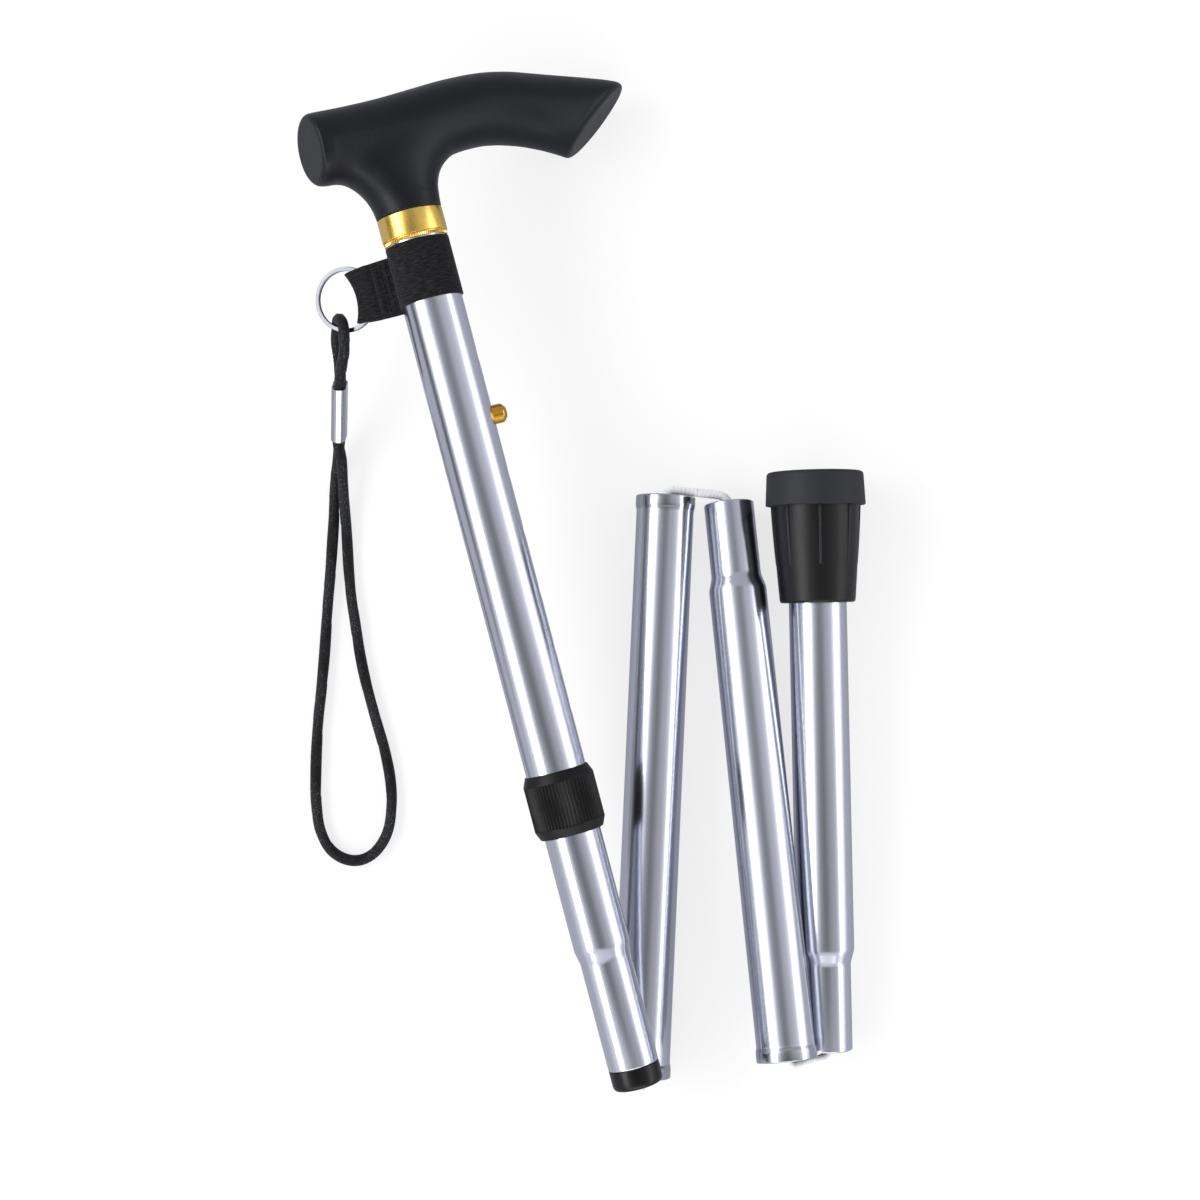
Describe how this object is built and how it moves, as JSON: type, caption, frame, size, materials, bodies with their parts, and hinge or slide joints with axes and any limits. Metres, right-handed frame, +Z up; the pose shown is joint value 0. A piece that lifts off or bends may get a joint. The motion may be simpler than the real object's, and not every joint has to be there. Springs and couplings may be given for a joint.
{
  "type": "folding cane",
  "caption": "Folding walking cane with a moulded T handle, push-button height setting, ribbed lock nut, wrist lanyard on a ring, elastic-corded tubes and a rubber tip, lying half folded.",
  "frame": {"origin": "centre of the footprint of the half-folded cane and its lanyard on the table", "axes": "+Z up from the table, +Y along the folded tubes towards the handle, +X across the folds from the handle section to the rubber-tipped section"},
  "size_m": [0.1901, 0.3447, 0.0666],
  "materials": {
    "handle_plastic": "satin, fine grain",
    "steel": "plain",
    "gold_metal": "polished, gold coloured",
    "satin_aluminium": "satin anodised",
    "strap_fabric": "fine woven ribs",
    "ring_steel": "polished nickel",
    "lanyard_cord": "braided, faint flecks",
    "ferrule_metal": "polished",
    "lock_plastic": "satin",
    "button_brass": "polished",
    "anchor_plastic": "plain",
    "plug_plastic": "gloss",
    "elastic": "woven sheath",
    "tip_rubber": "matte"
  },
  "bodies": {
    "handle_section": {"handle_grip": "handle_plastic", "handle_pin": "steel", "gold_collar": "gold_metal", "upper_tube": "satin_aluminium", "strap_band": "strap_fabric", "strap_loop": "strap_fabric", "lock_collet": "lock_plastic"},
    "lock": {"lock_nut": "lock_plastic"},
    "ring": {"key_ring": "ring_steel"},
    "lanyard": {"lanyard_bight": "lanyard_cord", "lanyard_ferrule": "ferrule_metal", "wrist_cord": "lanyard_cord"},
    "inner_section": {"inner_tube": "satin_aluminium", "button_spring": "steel", "upper_anchor": "anchor_plastic", "end_plug": "plug_plastic", "first_cord_run": "elastic"},
    "button": {"height_button": "button_brass"},
    "first_fold_cord": {"first_fold_cord": "elastic"},
    "second_section": {"second_tube": "satin_aluminium", "second_cord_run": "elastic"},
    "second_fold_cord": {"second_fold_cord": "elastic"},
    "third_section": {"third_tube": "satin_aluminium", "third_guide": "lock_plastic", "third_cord_run": "elastic"},
    "third_fold_cord": {"third_fold_cord": "elastic"},
    "fourth_section": {"fourth_tube": "satin_aluminium", "fourth_guide": "lock_plastic", "fourth_cord_run": "elastic", "lower_anchor": "anchor_plastic", "tip_washer": "steel", "rubber_tip": "tip_rubber"}
  },
  "joints": [
    {"name": "height_slide", "type": "slide", "parent": "handle_section", "child": "inner_section", "axis": [0.2551, -0.9656, -0.0497], "range_m": [-0.02, 0.1]},
    {"name": "button_press", "type": "slide", "parent": "inner_section", "child": "button", "axis": [-0.9431, -0.2599, 0.2077], "range_m": [0, 0.0054], "stiffness_N_per_m": 800, "deforming": ["button_spring"]},
    {"name": "nut_turn", "type": "hinge", "parent": "handle_section", "child": "lock", "pos_m": [-0.00473, -0.08515, 0.03371], "axis": [-0.2551, 0.9656, 0.0497], "range_deg": [0, 120]},
    {"name": "ring_turn", "type": "hinge", "parent": "handle_section", "child": "ring", "pos_m": [-0.08036, 0.09238, 0.03418], "axis": [-0.2867, -0.1247, 0.9499], "range_deg": [-45, 12]},
    {"name": "lanyard_lift", "type": "hinge", "parent": "ring", "child": "lanyard", "pos_m": [-0.08249, 0.08255, 0.03225], "axis": [-0.9962, 0.0872, 0], "range_deg": [0, 100]},
    {"name": "first_fold", "type": "hinge", "parent": "inner_section", "child": "first_fold_cord", "pos_m": [0.0179, -0.1708, 0.0293], "axis": [-0.9668, -0.2554, 0], "range_deg": [0, 87.15]},
    {"name": "first_fold_far", "type": "hinge", "parent": "first_fold_cord", "child": "second_section", "pos_m": [0.0179, -0.1708, 0.0102], "axis": [-0.999, 0.0454, 0], "range_deg": [0, 90.01]},
    {"name": "second_fold", "type": "hinge", "parent": "second_section", "child": "second_fold_cord", "pos_m": [0.02708, 0.03129, 0.0102], "axis": [0.0792, -0.0036, 0.9969], "range_deg": [0, 93.55]},
    {"name": "second_fold_far", "type": "hinge", "parent": "second_fold_cord", "child": "third_section", "pos_m": [0.04838, 0.02899, 0.0085], "axis": [-0.4344, 0.5644, 0.7019], "range_deg": [0, 98.54]},
    {"name": "third_fold", "type": "hinge", "parent": "third_section", "child": "third_fold_cord", "pos_m": [0.06691, -0.16352, 0.02372], "axis": [-0.7069, -0.1231, -0.6965], "range_deg": [0, 93.99]},
    {"name": "third_fold_far", "type": "hinge", "parent": "third_fold_cord", "child": "fourth_section", "pos_m": [0.08161, -0.16182, 0.0085], "axis": [-0.7202, 0.017, -0.6936], "range_deg": [0, 88.16]}
  ],
  "couplings": [
    {"joint": "first_fold_far", "follows": "first_fold", "ratio": 1.0327},
    {"joint": "second_fold_far", "follows": "second_fold", "ratio": 1.0532},
    {"joint": "third_fold_far", "follows": "third_fold", "ratio": 0.93784}
  ]
}
